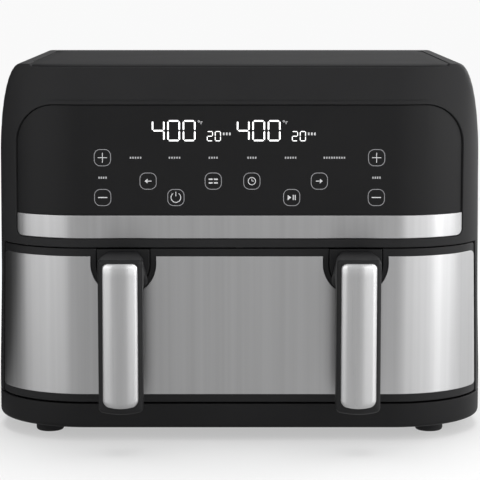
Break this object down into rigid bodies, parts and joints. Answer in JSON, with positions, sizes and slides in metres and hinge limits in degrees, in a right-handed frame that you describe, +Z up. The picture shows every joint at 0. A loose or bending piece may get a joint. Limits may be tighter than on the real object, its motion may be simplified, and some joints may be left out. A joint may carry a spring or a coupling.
{
  "type": "air fryer",
  "caption": "Wide countertop air fryer: a black body over one steel-faced drawer with hanging handles, a removable divider, crisper plates, ring heaters and fans.",
  "frame": {"origin": "on the counter, at the centre of the whole outline", "axes": "+X to the right seen from the front, +Y from the handles to the back, +Z up"},
  "size_m": [0.412, 0.376, 0.3115],
  "materials": {
    "shell": "fine moulded texture, matte black",
    "drawer_black": "satin black",
    "panel_gloss": "satin-gloss black touch panel",
    "steel": "vertical brushed stainless steel",
    "rubber": "matte moulded rubber",
    "liner_steel": "aluminised sheet",
    "heater": "oxidised sheath",
    "guard_wire": "bright plated steel",
    "motor": "zinc-plated can",
    "shaft": "ground steel",
    "fan_metal": "pressed sheet",
    "fan_plastic": "satin black",
    "board": "green solder mask",
    "contacts": "plated springs",
    "wire": "silicone-sheathed wire",
    "ceramic": "unglazed white ceramic",
    "screws": "zinc-plated steel",
    "coating": "dark non-stick coating, low sheen",
    "silicone": "soft grey silicone",
    "plunger": "red plastic"
  },
  "bodies": {
    "housing": {"main_housing": "shell", "top_cover": "shell", "front_bezel": "shell", "control_panel": "panel_gloss", "trim_strip": "steel", "rear_cover": "shell", "base_tray": "shell", "feet": "rubber", "cavity_liner": "liner_steel", "cavity_ceiling": "liner_steel", "heat_shield": "liner_steel", "slide_rails": "liner_steel", "heater_left": "heater", "heater_right": "heater", "heater_guard_left": "guard_wire", "heater_guard_right": "guard_wire", "motor_left": "motor", "motor_right": "motor", "motor_bracket_left": "liner_steel", "motor_bracket_right": "liner_steel", "power_board": "board", "board_parts": "fan_plastic", "display_board": "board", "digit_display": "panel_gloss", "touch_pads": "contacts", "wiring_harness": "wire", "thermal_cutouts": "ceramic", "temperature_probes": "guard_wire", "exhaust_duct": "liner_steel", "cord_gland": "rubber", "terminal_block": "ceramic", "drawer_switch": "fan_plastic", "rear_screws": "screws", "base_screws": "screws"},
    "drawer": {"drawer_front": "drawer_black", "steel_front": "steel", "drawer_inner": "drawer_black", "basket": "coating", "handle_core_left": "drawer_black", "handle_core_right": "drawer_black", "handle_grip_left": "steel", "handle_grip_right": "steel", "handle_screws": "screws", "drawer_screws": "screws", "basket_screws": "screws"},
    "divider": {"divider_plate": "coating", "divider_seal": "silicone"},
    "crisper_plate_left": {"crisper_left": "coating", "crisper_feet_left": "silicone"},
    "crisper_plate_right": {"crisper_right": "coating", "crisper_feet_right": "silicone"},
    "fan_left": {"fan_shaft_left": "shaft", "convection_fan_left": "fan_metal", "cooling_fan_left": "fan_plastic"},
    "fan_right": {"fan_shaft_right": "shaft", "convection_fan_right": "fan_metal", "cooling_fan_right": "fan_plastic"},
    "plunger": {"switch_plunger": "plunger"}
  },
  "joints": [
    {"name": "drawer_slide", "type": "slide", "parent": "housing", "child": "drawer", "axis": [0, -1, 0], "range_m": [0, 0.29]},
    {"name": "divider_lift", "type": "slide", "parent": "drawer", "child": "divider", "axis": [0, 0, 1], "range_m": [0, 0.012]},
    {"name": "crisper_lift_left", "type": "slide", "parent": "drawer", "child": "crisper_plate_left", "axis": [0, 0, 1], "range_m": [0, 0.09]},
    {"name": "crisper_lift_right", "type": "slide", "parent": "drawer", "child": "crisper_plate_right", "axis": [0, 0, 1], "range_m": [0, 0.09]},
    {"name": "fan_spin_left", "type": "hinge", "parent": "housing", "child": "fan_left", "pos_m": [-0.09, 0.015, 0.25], "axis": [0, 0, 1], "continuous": true},
    {"name": "fan_spin_right", "type": "hinge", "parent": "housing", "child": "fan_right", "pos_m": [0.09, 0.015, 0.25], "axis": [0, 0, 1], "continuous": true},
    {"name": "switch_press", "type": "slide", "parent": "housing", "child": "plunger", "axis": [0, 1, 0], "range_m": [0, 0.0015], "stiffness_N_per_m": 150}
  ]
}
